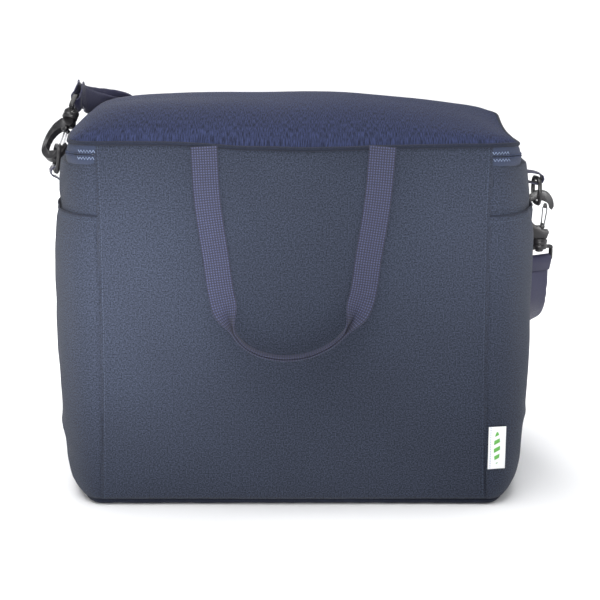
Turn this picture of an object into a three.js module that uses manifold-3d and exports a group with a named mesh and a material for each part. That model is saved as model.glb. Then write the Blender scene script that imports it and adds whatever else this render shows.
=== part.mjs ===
// Insulated cooler bag: a soft rectangular bag of fabric over foam, with a padded zip lid hinged
// along its front edge, two webbing handles and a clip-on shoulder strap.
// Millimetres, +Z up, the front panel faces -Y, origin on the ground under the middle of the bag.
import * as THREE from 'three';
import { mergeVertices } from 'three/addons/utils/BufferGeometryUtils.js';
import Module from 'manifold-3d';

const wasm = await Module();
wasm.setup();

// ---- driving dimensions -------------------------------------------------------------------
const GAP = 0.35;              // clearance between pieces that touch
const LAYER_GAP = 0.7;         // clearance between the layers of a wall
const BAG_HALF_X = 231.5;      // widest half width, over the side pockets
const BAG_HALF_Y = 125;        // fullest half depth
const SEAM_X = 184;            // vertical seams of the front and rear panels
const CORNER_Y = 66;           // depth of a rounded vertical corner
const BASE_HALF_X = 206;       // half width at the ground
const WALL_TOP = 331;          // top hem of the side and rear walls, under the zip
const RING_X = 213.5;          // half width of the lid outline
const RING_Y = 120;            // half depth of the lid outline
const RING_R = 27;             // corner radius of the lid outline
const HINGE_Z = 352;           // sewn hinge line, at the middle of the lid piping
const CROWN = 31;              // how far the lid fabric stands above its seam
const FABRIC = 1.2;            // outer cloth
const FOAM = 8;                // insulation
const LID_FOAM = 5;
const LINER = 0.8;             // waterproof inner skin
const POCKET_TOP = 290;        // mouth of the slip pockets on both sides
const WEBBING = 25;            // width of every strap
const WEBBING_THICK = 2;
const LID_PIPING_R = 2.1;
const BASE_PIPING_R = 2.8;
const TAPE = 1.1;              // zip tape thickness
const COIL = 1.7;              // zip coil, height and thickness of one half

// ---- colours ------------------------------------------------------------------------------
const CLOTH = [0x4a5670, 0.9, 0];
const LID_CLOTH = [0x4b5378, 0.92, 0];
const PIPING = [0x3f4556, 0.8, 0];
const STRAP_CLOTH = [0x34344c, 0.8, 0];
const HANDLE_CLOTH = [0x4d5570, 0.85, 0];
const TAPE_CLOTH = [0x5c6886, 0.85, 0];
const FOAM_WHITE = [0xe6e6e2, 0.95, 0];
const LINER_SILVER = [0xb9bec4, 0.4, 0.1];
const BLACK_PLASTIC = [0x2b2a2c, 0.45, 0];
const STEEL = [0xa9adb0, 0.3, 1];
const TAG_WHITE = [0xf4f5f5, 0.7, 0];

// ---- small helpers ------------------------------------------------------------------------
const object = new THREE.Group();

function add(name, geometry, [color, roughness, metalness], parent = object) {
  const mesh = new THREE.Mesh(geometry, new THREE.MeshStandardMaterial({ color, roughness, metalness }));
  mesh.name = name;
  parent.add(mesh);
  return mesh;
}

function toSolid(geometry) {
  const bare = geometry.clone();
  bare.deleteAttribute('normal');
  bare.deleteAttribute('uv');
  const merged = mergeVertices(bare, 1e-4);
  return new wasm.Manifold(new wasm.Mesh({
    numProp: 3,
    vertProperties: new Float32Array(merged.attributes.position.array),
    triVerts: new Uint32Array(merged.index.array),
  }));
}

function fromSolid(solid) {
  const { vertProperties, triVerts } = solid.getMesh();
  const geometry = new THREE.BufferGeometry();
  geometry.setAttribute('position', new THREE.BufferAttribute(new Float32Array(vertProperties), 3));
  geometry.setIndex(new THREE.BufferAttribute(new Uint32Array(triVerts), 1));
  geometry.computeVertexNormals();
  return geometry;
}

const joined = (...geometries) => fromSolid(geometries.map(toSolid).reduce((a, b) => a.add(b)));
const cut = (body, tool) => fromSolid(toSolid(body).subtract(toSolid(tool)));

function moved(geometry, change) {
  const position = geometry.attributes.position;
  const point = new THREE.Vector3();
  for (let i = 0; i < position.count; i += 1) {
    point.fromBufferAttribute(position, i);
    change(point);
    position.setXYZ(i, point.x, point.y, point.z);
  }
  return geometry;
}

// ---- plan outlines ------------------------------------------------------------------------
// Stations run anticlockwise from the front right seam. Each is the centre that its corner or
// side is drawn from, and the direction outward. inset moves the outline inward.
const ROUND = 5;
const SIDE_STEPS = 2;
const LONG_STEPS = 2;
const QUARTER = Math.PI / 2;

function outline(halfX, halfY, cornerX, cornerY) {
  const [cx, cy] = [halfX - cornerX, halfY - cornerY];
  const stations = [];
  const corners = [[cx, -cy], [cx, cy], [-cx, cy], [-cx, -cy]];
  corners.forEach(([x, y], quarter) => {
    const [nextX, nextY] = corners[(quarter + 1) % 4];
    const steps = quarter % 2 ? LONG_STEPS : SIDE_STEPS;
    for (let i = 0; i < ROUND; i += 1) {
      stations.push({ x, y, turn: (quarter - 1 + i / ROUND) * QUARTER });
    }
    for (let i = 0; i < steps; i += 1) {
      const t = i / steps;
      stations.push({ x: x + (nextX - x) * t, y: y + (nextY - y) * t, turn: quarter * QUARTER });
    }
  });
  const at = (index, inset) => {
    const { x, y, turn } = stations[((index % stations.length) + stations.length) % stations.length];
    return new THREE.Vector2(
      x + (cornerX - inset) * Math.cos(turn),
      y + (cornerY - inset) * Math.sin(turn),
    );
  };
  return { at, count: stations.length };
}

const body = outline(BAG_HALF_X, BAG_HALF_Y, BAG_HALF_X - SEAM_X, CORNER_Y);
const ring = outline(RING_X, RING_Y, RING_R, RING_R);
const RIGHT = [0, 2 * ROUND + SIDE_STEPS];
const LEFT = [2 * ROUND + SIDE_STEPS + LONG_STEPS, 4 * ROUND + 2 * SIDE_STEPS + LONG_STEPS];
const AROUND = [0, LEFT[1]];

// a strip of an outline between two insets, as a closed shape
function strip({ at }, [first, last], outer, inner) {
  const points = [];
  for (let i = first; i <= last; i += 1) points.push(at(i, outer));
  for (let i = last; i >= first; i -= 1) points.push(at(i, inner));
  return new THREE.Shape(points);
}

function whole({ at, count }, inset) {
  const points = [];
  for (let i = 0; i < count; i += 1) points.push(at(i, inset));
  return new THREE.Shape(points);
}

function longWall(side, outer, inner) {
  const edge = SEAM_X - GAP;
  const points = [];
  for (let i = 0; i <= LONG_STEPS; i += 1) {
    points.push(new THREE.Vector2(edge * (2 * i / LONG_STEPS - 1), side * (BAG_HALF_Y - outer)));
  }
  for (let i = LONG_STEPS; i >= 0; i -= 1) {
    points.push(new THREE.Vector2(edge * (2 * i / LONG_STEPS - 1), side * (BAG_HALF_Y - inner)));
  }
  return new THREE.Shape(points);
}

function raise(shape, from, to, steps = 1) {
  const geometry = new THREE.ExtrudeGeometry(shape, { depth: to - from, steps, bevelEnabled: false });
  return geometry.translate(0, 0, from);
}

// ---- the slack, full shape of the bag: [height, half width, half depth] ---------------------
const FULLNESS = [[0, BASE_HALF_X, 116.5], [13, 217, 120.5], [28, 223, 122.5], [70, 228.5, 124.5],
  [150, BAG_HALF_X, BAG_HALF_Y], [262, BAG_HALF_X, BAG_HALF_Y], [POCKET_TOP, 231, 123.5],
  [WALL_TOP, 227, 121.5], [HINGE_Z, 222, RING_Y + 0.4]];

function fullness(height) {
  const next = Math.min(Math.max(FULLNESS.findIndex(([h]) => h >= height), 1), FULLNESS.length - 1);
  const [h0, x0, y0] = FULLNESS[next - 1];
  const [h1, x1, y1] = FULLNESS[next];
  const t = (height - h0) / (h1 - h0);
  return { halfX: x0 + (x1 - x0) * t, halfY: y0 + (y1 - y0) * t };
}

function settle(point, height = point.z) {
  const { halfX, halfY } = fullness(height);
  const beyond = Math.abs(point.x) - SEAM_X;
  const spread = (halfX - SEAM_X) / (BAG_HALF_X - SEAM_X);
  if (beyond > 0) point.x = Math.sign(point.x) * (SEAM_X + beyond * spread);
  point.y *= halfY / BAG_HALF_Y;
}

// Every wall bends at the same heights, so the layers nest.
function wall(shape, from, to) {
  const inner = FULLNESS.map(([h]) => h).filter((h) => h > from + 1 && h < to - 1);
  const levels = [from, ...inner, to];
  const steps = levels.length - 1;
  return moved(raise(shape, 0, steps, steps), (point) => {
    point.z = levels[Math.round(point.z)];
    settle(point);
  });
}

// ---- insets of the wall's layers ----------------------------------------------------------
const PANEL_IN = FABRIC + LAYER_GAP;                    // the side panel lies behind its pocket
const FOAM_OUT = PANEL_IN + FABRIC + LAYER_GAP;
const FOAM_IN = FOAM_OUT + FOAM;
const LINER_OUT = FOAM_IN + LAYER_GAP;
const LINER_IN = LINER_OUT + LINER;
const PANEL_FOOT = 2 * BASE_PIPING_R + 0.9;       // the walls stand on the base piping
const FLOOR_TOP = 2;                              // thickness of the bottom cloth
const BOARD_TOP = FLOOR_TOP + GAP + 2;
const BASE_FOAM_TOP = BOARD_TOP + GAP + FOAM;
const FRONT_TOP = HINGE_Z - LID_PIPING_R - 3 * GAP;

// ---- outer cloth --------------------------------------------------------------------------
function addWalls() {
  add('front_panel', wall(longWall(-1, 0, FABRIC), PANEL_FOOT, FRONT_TOP), CLOTH);
  add('rear_panel', wall(longWall(1, 0, FABRIC), PANEL_FOOT, WALL_TOP), CLOTH);
  [['left', LEFT], ['right', RIGHT]].forEach(([side, span]) => {
    const panel = strip(body, span, PANEL_IN, PANEL_IN + FABRIC);
    add(`${side}_side_panel`, wall(panel, PANEL_FOOT, WALL_TOP), CLOTH);
    add(`${side}_side_pocket`, wall(strip(body, span, 0, FABRIC), PANEL_FOOT, POCKET_TOP), CLOTH);
    const foam = strip(body, span, FOAM_OUT, FOAM_IN);
    add(`${side}_foam`, wall(foam, BASE_FOAM_TOP + GAP, WALL_TOP), FOAM_WHITE);
  });
  add('front_foam', wall(longWall(-1, FOAM_OUT, FOAM_IN), BASE_FOAM_TOP + GAP, FRONT_TOP), FOAM_WHITE);
  add('rear_foam', wall(longWall(1, FOAM_OUT, FOAM_IN), BASE_FOAM_TOP + GAP, WALL_TOP), FOAM_WHITE);
}

// A welt bent round an outline: a torus whose turn picks the station and whose tube keeps its section.
function welt({ at, count }, radius, inset, height) {
  const rim = 100;
  const torus = new THREE.TorusGeometry(rim, radius, 6, count);
  return moved(torus, (point) => {
    const turn = Math.atan2(point.y, point.x) / (2 * Math.PI);
    const outward = Math.hypot(point.x, point.y) - rim;
    const place = at(Math.round(turn * count), inset - outward);
    point.set(place.x, place.y, point.z + height);
  });
}

function addBase() {
  const onBase = (geometry) => moved(geometry, (point) => settle(point, BASE_PIPING_R));
  const foot = (inset, from, to) => onBase(raise(whole(body, inset), from, to));
  add('bottom_panel', foot(2 * BASE_PIPING_R + 0.7, 0, FLOOR_TOP), CLOTH);
  add('base_board', foot(2 * BASE_PIPING_R + 2, FLOOR_TOP + GAP, BOARD_TOP), BLACK_PLASTIC);
  add('bottom_foam', foot(2 * BASE_PIPING_R + 3.5, BOARD_TOP + GAP, BASE_FOAM_TOP), FOAM_WHITE);
  const piping = welt(body, BASE_PIPING_R, BASE_PIPING_R, BASE_PIPING_R + 0.3);
  add('bottom_piping', onBase(piping), PIPING);
}

function addLiner() {
  const from = BASE_FOAM_TOP + GAP;
  const outside = wall(whole(body, LINER_OUT), from, WALL_TOP - GAP);
  const inside = wall(whole(body, LINER_IN), from + LINER, WALL_TOP + 5);
  add('liner_tub', cut(outside, inside), LINER_SILVER);
}

// ---- zip: the lower half is sewn to the walls, the upper half to the lid -------------------
const ZIP_LINE = 341.5;
const TAPE_FOOT = WALL_TOP + 2 * GAP + 1.2;
const TAPE_TOP = HINGE_Z - LID_PIPING_R - GAP;

function addZip() {
  const hem = [];
  for (let i = AROUND[0]; i <= AROUND[1]; i += 1) {
    const { x, y } = body.at(i, 0.4);
    const edge = new THREE.Vector3(x, y, WALL_TOP);
    settle(edge);
    hem.push(new THREE.Vector2(edge.x, edge.y));
  }
  for (let i = AROUND[1]; i >= AROUND[0]; i -= 1) hem.push(ring.at(i, TAPE + 1));
  hem[0].x = SEAM_X + GAP;
  hem[AROUND[1]].x = -SEAM_X - GAP;
  add('rim_hem', raise(new THREE.Shape(hem), WALL_TOP + GAP, WALL_TOP + GAP + 1.2), CLOTH);
  const tape = strip(ring, AROUND, 0, TAPE);
  const coil = strip(ring, AROUND, -GAP - COIL, -GAP);
  add('zip_lower_tape', raise(tape, TAPE_FOOT, ZIP_LINE - GAP / 2), TAPE_CLOTH);
  add('zip_lower_coil', raise(coil, ZIP_LINE - GAP / 2 - COIL, ZIP_LINE - GAP / 2), TAPE_CLOTH);
  add('zip_upper_tape', raise(tape, ZIP_LINE + GAP / 2, TAPE_TOP), TAPE_CLOTH);
  add('zip_upper_coil', raise(coil, ZIP_LINE + GAP / 2, ZIP_LINE + GAP / 2 + COIL), TAPE_CLOTH);
}

// ---- lid: crowned boards, each a flat grid drawn onto the lid outline ----------------------
const crownAt = (x, y) => CROWN * (1 - (Math.abs(x) / RING_X) ** 4) * (1 - (Math.abs(y) / RING_Y) ** 2.6);

// Turns the diagonals of a box's underside to run like those of its top, so crowned boards nest.
function sameFolds(box) {
  const { start, count } = box.groups[5];
  for (let q = start; q < start + count; q += 6) {
    const [a, b, d, , c] = box.index.array.slice(q, q + 6);
    box.index.array.set([a, b, c, a, c, d], q);
  }
  return box;
}

function lidBoard(under, thickness) {
  const inset = LID_PIPING_R + GAP;
  const [halfX, halfY, corner] = [RING_X - inset, RING_Y - inset, RING_R - inset];
  const board = sameFolds(new THREE.BoxGeometry(2, 2, thickness, 12, 8, 1));
  return moved(board, (point) => {
    const [u, v] = [point.x, point.y];
    const far = Math.max(Math.abs(u), Math.abs(v)) || 1;
    const edge = new THREE.Vector2(Math.abs(u / far) * halfX, Math.abs(v / far) * halfY);
    const inCorner = edge.clone().sub(new THREE.Vector2(halfX - corner, halfY - corner));
    if (inCorner.x > 0 && inCorner.y > 0) {
      inCorner.setLength(Math.min(inCorner.length(), corner));
      edge.set(halfX - corner + inCorner.x, halfY - corner + inCorner.y);
    }
    const x = Math.sign(u) * edge.x * far;
    const y = Math.sign(v) * edge.y * far;
    point.set(x, y, under + thickness / 2 + point.z + crownAt(x, y));
  });
}

function addLid() {
  const seat = HINGE_Z - 0.5;
  add('lid_piping', welt(ring, LID_PIPING_R, -0.5, HINGE_Z), PIPING);
  add('lid_liner', lidBoard(seat, LINER), LINER_SILVER);
  add('lid_foam', lidBoard(seat + LINER + GAP, LID_FOAM), FOAM_WHITE);
  add('lid_fabric', lidBoard(seat + LINER + LID_FOAM + 2 * GAP, FABRIC), LID_CLOTH);
}

// ---- webbing: a flat section swept along a line, its width turned by hand -------------------
class BandPath extends THREE.CatmullRomCurve3 {
  constructor(points, across) {
    super(points, false, 'centripetal');
    this.across = across;
  }

  computeFrenetFrames(segments) {
    const frames = { tangents: [], normals: [], binormals: [] };
    for (let i = 0; i <= segments; i += 1) {
      const along = this.getTangentAt(i / segments);
      const place = this.getUtoTmapping(i / segments) * (this.across.length - 1);
      const before = Math.min(Math.floor(place), this.across.length - 2);
      const wide = this.across[before].clone().lerp(this.across[before + 1], place - before);
      wide.addScaledVector(along, -wide.dot(along)).normalize();
      frames.tangents.push(along);
      frames.normals.push(wide);
      frames.binormals.push(along.clone().cross(wide));
    }
    return frames;
  }
}

function bandSection(width, thickness) {
  const [w, t] = [width / 2, thickness / 2];
  const bite = t * 0.6;
  const corners = [
    [w, -t + bite], [w, t - bite], [w - bite, t], [-w + bite, t],
    [-w, t - bite], [-w, -t + bite], [-w + bite, -t], [w - bite, -t],
  ];
  return new THREE.Shape(corners.map(([x, y]) => new THREE.Vector2(x, y)));
}

// route: [x, y, z, across x, across y, across z] rows
function webbing(route, steps, width = WEBBING, thickness = WEBBING_THICK) {
  const points = route.map(([x, y, z]) => new THREE.Vector3(x, y, z));
  const across = route.map((row) => new THREE.Vector3(...row.slice(3)));
  const extrudePath = new BandPath(points, across);
  const section = bandSection(width, thickness);
  return new THREE.ExtrudeGeometry(section, { steps, extrudePath, bevelEnabled: false });
}

// ---- carry handles: flat on the panel at the top, turned on edge round the bottom ----------
function handleRoute(side, upper) {
  const leg = [
    ...upper,
    [71.8, 127.6, 250, 1, 0, -0.12],
    [67, 128.6, 212, 1, 0, -0.14],
    [61, 132, 190, 0.8, 0.5, -0.2],
    [50.5, 138, 172.5, 0.3, 0.9, -0.15],
    [34, 140.2, 163.5, 0.02, 1, 0],
    [16, 140.6, 159.5, 0, 1, 0],
  ].map(([x, y, z, ax, ay, az]) => [x, side * y, z, ax, side * ay, az]);
  const other = leg.map(([x, y, z, ax, ay, az]) => [-x, y, z, -ax, ay, az]).reverse();
  return [...leg, [0, side * 140.6, 158.7, 0, side, 0], ...other];
}

function addHandles() {
  const frontTop = [[83, 122.5, FRONT_TOP - 1, 1, 0, -0.12], [78.5, 126.4, 305, 1, 0, -0.12]];
  const rearTop = [[83, 123.6, WALL_TOP - 3, 1, 0, -0.12], [77.5, 126, 300, 1, 0, -0.12]];
  add('front_handle', webbing(handleRoute(-1, frontTop), 34), HANDLE_CLOTH);
  add('rear_handle', webbing(handleRoute(1, rearTop), 34), HANDLE_CLOTH);
}

// ---- zip sliders: a plate over the coil with an arch, and a pull tab round the arch's bar -----
const SLIDER_FACE = RING_Y + 2 * GAP + COIL;
const ARCH_Y = SLIDER_FACE + 5.6;
const ARCH_Z = ZIP_LINE + 2.6;
const SLIDER_APART = 14;

// a shape drawn across (x, z) and given a thickness centred on y = 0
function plate(shape, thickness, bevel = 0) {
  const geometry = new THREE.ExtrudeGeometry(shape, {
    depth: thickness - 2 * bevel,
    bevelEnabled: bevel > 0,
    bevelThickness: bevel,
    bevelSize: bevel,
    bevelOffset: -bevel,
    bevelSegments: 1,
    curveSegments: 4,
  });
  return geometry.translate(0, 0, bevel - thickness / 2).rotateX(QUARTER);
}

function rounded(left, right, low, high, corner) {
  const shape = new THREE.Shape();
  shape.absarc(right - corner, low + corner, corner, -QUARTER, 0);
  shape.absarc(right - corner, high - corner, corner, 0, QUARTER);
  shape.absarc(left + corner, high - corner, corner, QUARTER, 2 * QUARTER);
  shape.absarc(left + corner, low + corner, corner, 2 * QUARTER, 3 * QUARTER);
  shape.closePath();
  return shape;
}

function addSlider(side, sign) {
  const group = new THREE.Group();
  group.position.set(sign * SLIDER_APART, 0, 0);
  object.add(group);
  const face = plate(rounded(-5, 5, -5, 5, 2.5), 1.8, 0.4);
  face.translate(0, SLIDER_FACE + 0.9, ZIP_LINE);
  const corners = [[-4.2, 0], [4.2, 0], [4.2, 5], [-4.2, 5]];
  const arch = new THREE.Shape(corners.map(([x, y]) => new THREE.Vector2(x, y)));
  arch.holes.push(new THREE.Path([[-2.7, 0.9], [2.7, 0.9], [2.7, 3.4], [-2.7, 3.4]]
    .map(([x, y]) => new THREE.Vector2(x, y))));
  const bridge = raise(arch, -1, 1).translate(0, SLIDER_FACE + 1.4, ARCH_Z);
  add(`${side}_zip_slider`, joined(face, bridge), BLACK_PLASTIC, group);
  const eye = new THREE.Shape();
  eye.absarc(0, 0, 2.7, 0, 4 * QUARTER);
  eye.holes.push(new THREE.Path().absarc(0, 0, 1.6, 0, 4 * QUARTER, true));
  const knuckle = new THREE.ExtrudeGeometry(eye, { depth: 4.4, bevelEnabled: false, curveSegments: 6 });
  knuckle.translate(0, 0, -2.2).rotateY(QUARTER);
  const tab = plate(rounded(-3.2, 3.2, -25, -2.2, 2.2), 1.5);
  const pull = joined(knuckle, tab).translate(0, ARCH_Y, ARCH_Z);
  add(`${side}_zip_pull`, pull, BLACK_PLASTIC, group);
}

// ---- strap hardware, drawn with the hook standing up from its swivel base --------------------
const RING_TUBE = 2.2;
const RING_REACH = 12.8;       // middle of the ring to the middle of its bars
const RING_BEND = 8;
const HOOK_THICK = 7;
const STEM_X = 2;
const TAB_Y = 10;              // the tabs sit a little behind the middle of the sides

function ringGeometry() {
  const torus = new THREE.TorusGeometry(RING_BEND, RING_TUBE, 8, 16);
  const stretch = RING_REACH - RING_BEND;
  const sideOf = (value) => (Math.abs(value) < 1e-3 ? 0 : Math.sign(value));
  return moved(torus, (point) => {
    point.x += sideOf(point.x) * stretch;
    point.y += sideOf(point.y) * stretch;
  }).rotateY(QUARTER);
}

function hookGeometry() {
  const outline2d = new THREE.Shape();
  outline2d.moveTo(-5, 9);
  outline2d.splineThru([[-11, 16], [-14.4, 27], [-14.8, 39], [-12.6, 49], [-6.5, 56], [1, 58.3], [8.5, 56],
    [13.6, 49.5], [15, 42.5], [12.6, 38.6]].map(([x, z]) => new THREE.Vector2(x, z)));
  outline2d.lineTo(10.2, 41);
  outline2d.splineThru([[8.6, 45.5], [3.5, 48], [-3, 48.8], [-8, 46], [-9.8, 40], [-9.2, 32], [-6.5, 25.5],
    [-2.5, 21.5], [1.6, 21.6]].map(([x, z]) => new THREE.Vector2(x, z)));
  outline2d.lineTo(4.2, 17.6);
  outline2d.lineTo(9.5, 17.8);
  outline2d.lineTo(11.4, 15);
  outline2d.lineTo(9, 9);
  const stem = new THREE.CylinderGeometry(2.6, 2.6, 14, 12).rotateX(QUARTER).translate(STEM_X, 0, 3);
  const head = new THREE.CylinderGeometry(4, 4, 2, 12).rotateX(QUARTER).translate(STEM_X, 0, -4);
  return joined(plate(outline2d, HOOK_THICK), stem, head);
}

function gateGeometry() {
  const legs = [
    [2.9, 23], [3.6, 30], [4, 38], [4.7, 42], [6.4, 43.4], [7.9, 42], [8.2, 38], [7.2, 30], [5.6, 19.5],
  ];
  const extrudePath = new THREE.CatmullRomCurve3(legs.map(([x, z]) => new THREE.Vector3(x, 0, z)));
  const section = new THREE.Shape();
  section.absarc(0, 0, 0.8, 0, 4 * QUARTER);
  const settings = { steps: 16, extrudePath, curveSegments: 3, bevelEnabled: false };
  return new THREE.ExtrudeGeometry(section, settings);
}

function baseGeometry() {
  const outline = [
    [3.6, -2.2], [7.2, -2.2], [8, 0], [8, 2], [7.2, 3], [8, 4], [8, 6.4], [6.4, 8.6], [3.6, 8.6], [3.6, -2.2],
  ];
  const profile = outline.map(([r, z]) => new THREE.Vector2(r, z));
  const collar = new THREE.LatheGeometry(profile, 12).rotateX(QUARTER);
  const frame = rounded(-15.5, 15.5, -15, 0.6, 2.5);
  frame.holes.push(new THREE.Path(rounded(-13.2, 13.2, -12, -2.4, 0.8).getPoints(1)));
  const bore = new THREE.CylinderGeometry(3.1, 3.1, 30, 12).rotateX(QUARTER);
  return cut(joined(collar, plate(frame, 4.4)), bore);
}

// the sewn fold round the base's bar, its two ends side by side below it
function foldGeometry(foot, apart) {
  const half = [[0, 0, -9.4], [0, 2.8, -10.6], [0, 4.1, -14], [0, (apart + 4.1) / 2, (foot - 14) / 2],
    [0, apart, foot]];
  const other = half.slice(1).map(([x, y, z]) => [x, -y, z]).reverse();
  return webbing([...other, ...half].map((row) => [...row, 1, 0, 0]), 18);
}

function placed(x, y, z, across, up) {
  const zAxis = up.clone().normalize();
  const xAxis = across.clone().addScaledVector(zAxis, -across.dot(zAxis)).normalize();
  const group = new THREE.Group();
  group.setRotationFromMatrix(new THREE.Matrix4().makeBasis(xAxis, zAxis.clone().cross(xAxis), zAxis));
  group.position.set(x, y, z);
  object.add(group);
  return group;
}

const RIGHT_BASE = { x: 249.5, y: TAB_Y, z: 230, turn: 0.6, across: [1, -0.12, 0], up: [0, 0, 1] };
const LEFT_BASE = {
  x: -226.7,
  y: 48.1,
  z: 360.6,
  turn: 1.1,
  across: [0.88, -0.47, 0.06],
  up: [-0.29, -0.63, -0.72],
};
const RIGHT_RING = { x: 244.6, y: TAB_Y, z: 288, across: [1, 0.14, 0], up: [0, 0, 1] };
const LEFT_RING = {
  x: -238.5,
  y: TAB_Y + 1.5,
  z: 320.2,
  across: [0.96, 0.27, -0.13],
  up: [0.12, 0.02, 0.99],
};

function addHardware(side, base, ringPlace, foot, apart) {
  const vector = (list) => new THREE.Vector3(...list);
  const held = placed(base.x, base.y, base.z, vector(base.across), vector(base.up));
  const swivel = new THREE.Group();
  swivel.rotation.z = base.turn;
  held.add(swivel);
  add(`${side}_hook`, hookGeometry().translate(-STEM_X, 0, 0), BLACK_PLASTIC, held);
  add(`${side}_hook_gate`, gateGeometry().translate(-STEM_X, 0, 0), STEEL, held);
  add(`${side}_swivel_base`, baseGeometry(), BLACK_PLASTIC, swivel);
  add(`${side}_strap_fold`, foldGeometry(foot, apart), STRAP_CLOTH, swivel);
  const { x, y, z, across, up } = ringPlace;
  add(`${side}_ring`, ringGeometry(), BLACK_PLASTIC, placed(x, y, z, vector(across), vector(up)));
}

// a short loop of webbing sewn to the side wall, wrapped round the ring's bar
function tabGeometry(sign, root, eyeX, eyeZ, lean) {
  const eye = 5.3;
  const middle = (root + eyeZ) / 2;
  const route = [
    [230.3, root - 4],
    [(229 + eyeX) / 2, middle - 5],
    [eyeX, eyeZ - eye],
    [eyeX + eye * 0.7, eyeZ - eye * 0.7],
    [eyeX + eye, eyeZ],
    [eyeX + eye * 0.7, eyeZ + eye * 0.7],
    [eyeX, eyeZ + eye],
    [(229 + eyeX) / 2, middle + 5.6],
    [230.3, root + 4],
  ];
  return webbing(route.map(([x, z]) => [sign * x, TAB_Y, z, lean, sign, 0]), 16, 14, 1.4);
}

// ---- shoulder strap: from the left clip over the rear corner, down behind, and up to the right -
const STRAP_ROUTE = [
  [-224.6, 60.2, 374.8, 0.064, -0.764, 0.643],
  [-224, 61.5, 376.3, 0.064, -0.764, 0.643],
  [-222.6, 70, 379, 0.08, -0.7, 0.7],
  [-223.4, 84, 375.6, 0.04, -0.5, 0.86],
  [-222.6, 100, 370, 0, -0.35, 0.94],
  [-213.8, 119.6, 364.5, 0, -0.15, 0.98],
  [-199, 128.8, 361.5, 0.12, 0, 0.98],
  [-184, 132.5, 358, 0.35, -0.1, 0.92],
  [-171, 138, 348, 0.75, -0.1, 0.64],
  [-163.5, 142.5, 330, 0.96, -0.05, 0.27],
  [-160.5, 144.6, 310, 1, 0, 0.05],
  [-160, 145, 290, 1, 0, 0],
  [-160, 145, 220, 1, 0, 0],
  [-159.5, 144, 170, 1, 0, 0.05],
  [-150, 144, 122, 0.95, -0.25, 0.3],
  [-128, 144, 78, 0.5, -0.75, 0.4],
  [-90, 144, 46, 0.1, -0.98, 0.1],
  [-40, 144, 29, 0, -1, 0],
  [15, 144, 25, 0, -1, 0],
  [70, 144, 32, 0, -1, 0],
  [120, 144, 48, 0, -1, -0.15],
  [164, 142, 68, 0, -0.7, -0.7],
  [199, 130, 88, -0.1, -0.3, -0.95],
  [227, 106, 108, -0.4, -0.3, -0.85],
  [242, 74, 128, -0.7, -0.5, -0.5],
  [246.5, 42, 146, -0.8, -0.6, 0],
  [248.4, 17, 168, -0.83, -0.56, 0],
  [249.4, 10.3, 188, -0.83, -0.56, 0],
  [249.5, 10, 204.4, -0.83, -0.56, 0],
];

// ---- the strap's free end comes back from the left clip to a sliding adjuster ----------------
const ADJUSTER_Z = 255;
const BAR_Y = 138;             // middle of the adjuster's bar, in front of the strap
const RETURN_ROUTE = [
  [-218.1, 59.3, 373.1, 0.064, -0.764, 0.643],
  [-217.6, 60.5, 374.5, 0.064, -0.764, 0.643],
  [-217.6, 70, 377, 0.07, -0.6, 0.8],
  [-218, 84, 372.8, 0.03, -0.42, 0.9],
  [-218.1, 100, 366.4, 0, -0.25, 0.96],
  [-209.4, 116, 359.8, 0, -0.1, 0.99],
  [-198, 123.6, 355.4, 0.1, 0, 0.98],
  [-184, 127.4, 351, 0.35, -0.1, 0.92],
  [-171, 130.5, 341, 0.75, -0.1, 0.64],
  [-163.5, 133.5, 323, 0.96, -0.05, 0.27],
  [-160.5, 134.5, 303, 1, 0, 0.05],
  [-160, 134.6, 290, 1, 0, 0],
  [-160, 134.6, 279.6, 1, 0, 0],
];

function addStrap() {
  add('shoulder_strap', webbing(STRAP_ROUTE, 64), STRAP_CLOTH);
  add('strap_return_strand', webbing(RETURN_ROUTE, 24), STRAP_CLOTH);
}

// two long rails, a bar between them for the folded end, and two outer bars behind the strap
function addAdjuster() {
  const block = (width, depth, height, x, y, z) =>
    new THREE.BoxGeometry(width, depth, height).translate(x, y, z);
  const rails = [-1, 1].map((sign) => block(3, 12.6, 26, sign * 15.2, 142.3, 0));
  const bars = [-1, 1].map((sign) => block(30, 2.2, 4, 0, 147.5, sign * 11));
  const frame = joined(...rails, ...bars, block(30, 4.4, 3, 0, BAR_Y, 0));
  const group = new THREE.Group();
  group.position.set(-160, 0, ADJUSTER_Z);
  object.add(group);
  add('strap_adjuster', frame, BLACK_PLASTIC, group);
  const fold = foldGeometry(-37.8, 3.4).rotateX(2 * QUARTER).translate(0, BAR_Y, -13.5);
  add('adjuster_fold', fold, STRAP_CLOTH, group);
}

function addLabel() {
  const tag = plate(rounded(-8.6, 8.6, 40, 83, 0.8), 0.7);
  tag.rotateZ(0.17).translate(196.5, -124.1, 0);
  add('side_label', tag, TAG_WHITE);
}

addWalls();
addBase();
addLiner();
addZip();
addLid();
addHandles();
addSlider('left', -1);
addSlider('right', 1);
addHardware('left', LEFT_BASE, LEFT_RING, -18, 3.4);
addHardware('right', RIGHT_BASE, RIGHT_RING, -25, 1.2);
add('left_tab_loop', tabGeometry(-1, 298, 239.8, 307.5, 0.28), STRAP_CLOTH);
add('right_tab_loop', tabGeometry(1, 303, 244.6, 300.8, -0.14), STRAP_CLOTH);
addStrap();
addAdjuster();
addLabel();

export default object;
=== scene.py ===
"""Looks of the insulated cooler bag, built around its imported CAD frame. Metres, +Z up, front towards -Y."""

import math

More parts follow.
